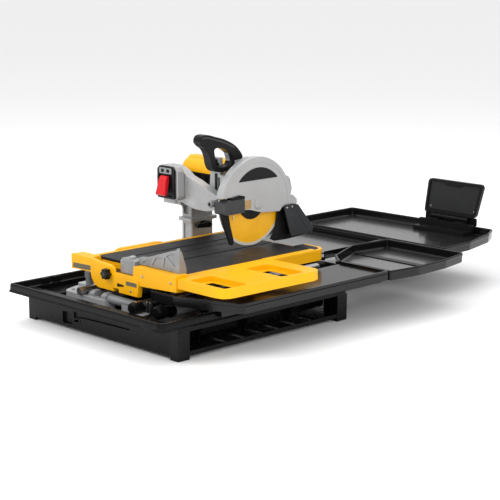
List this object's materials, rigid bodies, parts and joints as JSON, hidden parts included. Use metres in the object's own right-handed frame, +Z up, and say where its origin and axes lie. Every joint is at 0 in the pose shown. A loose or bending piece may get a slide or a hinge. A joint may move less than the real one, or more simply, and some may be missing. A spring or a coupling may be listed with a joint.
{
  "type": "wet tile saw",
  "caption": "Wet tile saw with a sliding cart on rails, a bevelling and plunging blade head, a legged water pan, catch trays and a rear spray deflector.",
  "frame": {"origin": "centre of the bounding box, at the floor under the feet", "axes": "+Z up, +Y the cutting direction from the operator to the rear trays, +X to the operator's right"},
  "size_m": [0.783, 1.474, 0.528],
  "materials": {
    "black_plastic": "moulded black plastic",
    "yellow_plastic": "moulded yellow plastic",
    "yellow_paint": "yellow paint",
    "silver_paint": "silver grey paint",
    "cast_aluminium": "cast, lightly brushed",
    "steel": "ground steel",
    "grey_rubber": "ribbed grey rubber",
    "black_rubber": "smooth black rubber",
    "grey_plastic": "dark grey plastic",
    "red_plastic": "red plastic",
    "copper_windings": "enamelled copper",
    "brass": "turned brass"
  },
  "bodies": {
    "base": {"water_pan": "black_plastic", "left_casting": "cast_aluminium", "front_cross_tube": "grey_plastic", "rear_cross_tube": "grey_plastic", "left_rail": "steel", "right_rail": "steel", "side_tube": "cast_aluminium", "side_tube_cap": "black_plastic", "front_foot": "cast_aluminium", "rear_foot": "cast_aluminium", "water_pump": "black_plastic", "column": "cast_aluminium", "arm_casting": "cast_aluminium", "switch_box": "silver_paint", "switch_cover": "black_plastic", "side_tray": "black_plastic", "wing_tray": "black_plastic", "near_rear_tray": "black_plastic", "far_rear_tray": "black_plastic", "deflector_bracket": "black_plastic"},
    "plug": {"drain_plug": "black_rubber"},
    "paddle": {"stop_paddle": "red_plastic"},
    "bevel_lever": {"bevel_lock_lever": "black_plastic"},
    "bevel_head": {"bevel_bracket": "cast_aluminium", "bevel_pin": "steel", "plunge_pin": "steel"},
    "plunge_knob": {"plunge_lock_knob": "black_plastic"},
    "cutting_head": {"gear_case": "cast_aluminium", "motor_housing": "yellow_paint", "motor_end_cap": "black_plastic", "motor_stator": "copper_windings", "arbor_bearing": "steel", "blade_guard": "silver_paint", "nozzle_block": "grey_plastic", "left_nozzle": "brass", "right_nozzle": "brass", "front_wiper": "black_rubber", "rear_flap": "grey_rubber", "handle": "black_plastic"},
    "rotor": {"motor_rotor": "steel"},
    "spindle": {"arbor": "steel", "inner_flange": "steel", "blade": "yellow_paint", "outer_flange": "black_plastic", "arbor_nut": "steel"},
    "water_valve": {"water_knob": "cast_aluminium"},
    "cart": {"cart_frame": "yellow_plastic", "left_mat": "grey_rubber", "right_mat": "grey_rubber", "extension_table": "yellow_plastic", "fence": "yellow_plastic"},
    "roller_front_left": {"front_left_roller": "grey_plastic"},
    "roller_rear_left": {"rear_left_roller": "grey_plastic"},
    "roller_front_right": {"front_right_roller": "grey_plastic"},
    "roller_rear_right": {"rear_right_roller": "grey_plastic"},
    "protractor": {"protractor_knob": "black_plastic"},
    "edge_guide": {"guide_clamp": "grey_plastic", "guide_arm": "cast_aluminium"},
    "guide_screw": {"guide_knob": "cast_aluminium"},
    "spray_panel": {"deflector": "black_plastic"}
  },
  "joints": [
    {"name": "cart_slide", "type": "slide", "parent": "base", "child": "cart", "axis": [0, 1, 0], "range_m": [-0.2, 0.225]},
    {"name": "head_bevel", "type": "hinge", "parent": "base", "child": "bevel_head", "pos_m": [-0.0185, -0.234, 0.331], "axis": [0, 1, 0], "range_deg": [0, 45]},
    {"name": "head_plunge", "type": "hinge", "parent": "bevel_head", "child": "cutting_head", "pos_m": [-0.0925, 0.019, 0.35], "axis": [-1, 0, 0], "range_deg": [-2.5, 27]},
    {"name": "blade_spin", "type": "hinge", "parent": "cutting_head", "child": "spindle", "pos_m": [0.0115, -0.17, 0.327], "axis": [1, 0, 0], "continuous": true},
    {"name": "rotor_spin", "type": "hinge", "parent": "cutting_head", "child": "rotor", "pos_m": [-0.1605, -0.166, 0.393], "axis": [1, 0, 0], "continuous": true},
    {"name": "plunge_lock_turn", "type": "hinge", "parent": "bevel_head", "child": "plunge_knob", "pos_m": [-0.0675, -0.241, 0.434], "axis": [0, 1, 0], "range_deg": [-90, 90]},
    {"name": "bevel_lock_turn", "type": "hinge", "parent": "base", "child": "bevel_lever", "pos_m": [-0.2405, -0.131, 0.226], "axis": [-1, 0, 0], "range_deg": [0, 60]},
    {"name": "stop_paddle_press", "type": "hinge", "parent": "base", "child": "paddle", "pos_m": [-0.2175, -0.3, 0.388], "axis": [1, 0, 0], "range_deg": [0, 12], "stiffness_Nm_per_rad": 0.6},
    {"name": "water_valve_turn", "type": "hinge", "parent": "cutting_head", "child": "water_valve", "pos_m": [-0.0125, -0.287, 0.332], "axis": [0, 1, 0], "range_deg": [0, 90]},
    {"name": "edge_guide_slide", "type": "slide", "parent": "cart", "child": "edge_guide", "axis": [1, 0, 0], "range_m": [-0.12, 0]},
    {"name": "guide_knob_turn", "type": "hinge", "parent": "edge_guide", "child": "guide_screw", "pos_m": [-0.0205, -0.582, 0.222], "axis": [0, 0, 1], "range_deg": [-180, 180]},
    {"name": "protractor_knob_turn", "type": "hinge", "parent": "cart", "child": "protractor", "pos_m": [-0.0905, -0.609, 0.168], "axis": [0, 1, 0], "range_deg": [-90, 90]},
    {"name": "front_left_roller_spin", "type": "hinge", "parent": "cart", "child": "roller_front_left", "pos_m": [-0.1905, -0.421, 0.1313], "axis": [1, 0, 0], "range_deg": [-990, 830]},
    {"name": "front_right_roller_spin", "type": "hinge", "parent": "cart", "child": "roller_front_right", "pos_m": [0.0495, -0.421, 0.1313], "axis": [1, 0, 0], "range_deg": [-990, 830]},
    {"name": "rear_left_roller_spin", "type": "hinge", "parent": "cart", "child": "roller_rear_left", "pos_m": [-0.1905, -0.221, 0.1313], "axis": [1, 0, 0], "range_deg": [-990, 830]},
    {"name": "rear_right_roller_spin", "type": "hinge", "parent": "cart", "child": "roller_rear_right", "pos_m": [0.0495, -0.221, 0.1313], "axis": [1, 0, 0], "range_deg": [-990, 830]},
    {"name": "deflector_fold", "type": "hinge", "parent": "base", "child": "spray_panel", "pos_m": [0.0345, 0.717, 0.17], "axis": [1, 0, 0], "range_deg": [0, 80]},
    {"name": "drain_plug_pull", "type": "slide", "parent": "base", "child": "plug", "axis": [0, 0, -1], "range_m": [0, 0.016]}
  ],
  "couplings": [
    {"joint": "rotor_spin", "follows": "blade_spin", "ratio": -1.8571},
    {"joint": "front_left_roller_spin", "follows": "cart_slide", "rad_per_m": -71.429},
    {"joint": "front_right_roller_spin", "follows": "cart_slide", "rad_per_m": -71.429},
    {"joint": "rear_left_roller_spin", "follows": "cart_slide", "rad_per_m": -71.429},
    {"joint": "rear_right_roller_spin", "follows": "cart_slide", "rad_per_m": -71.429}
  ]
}
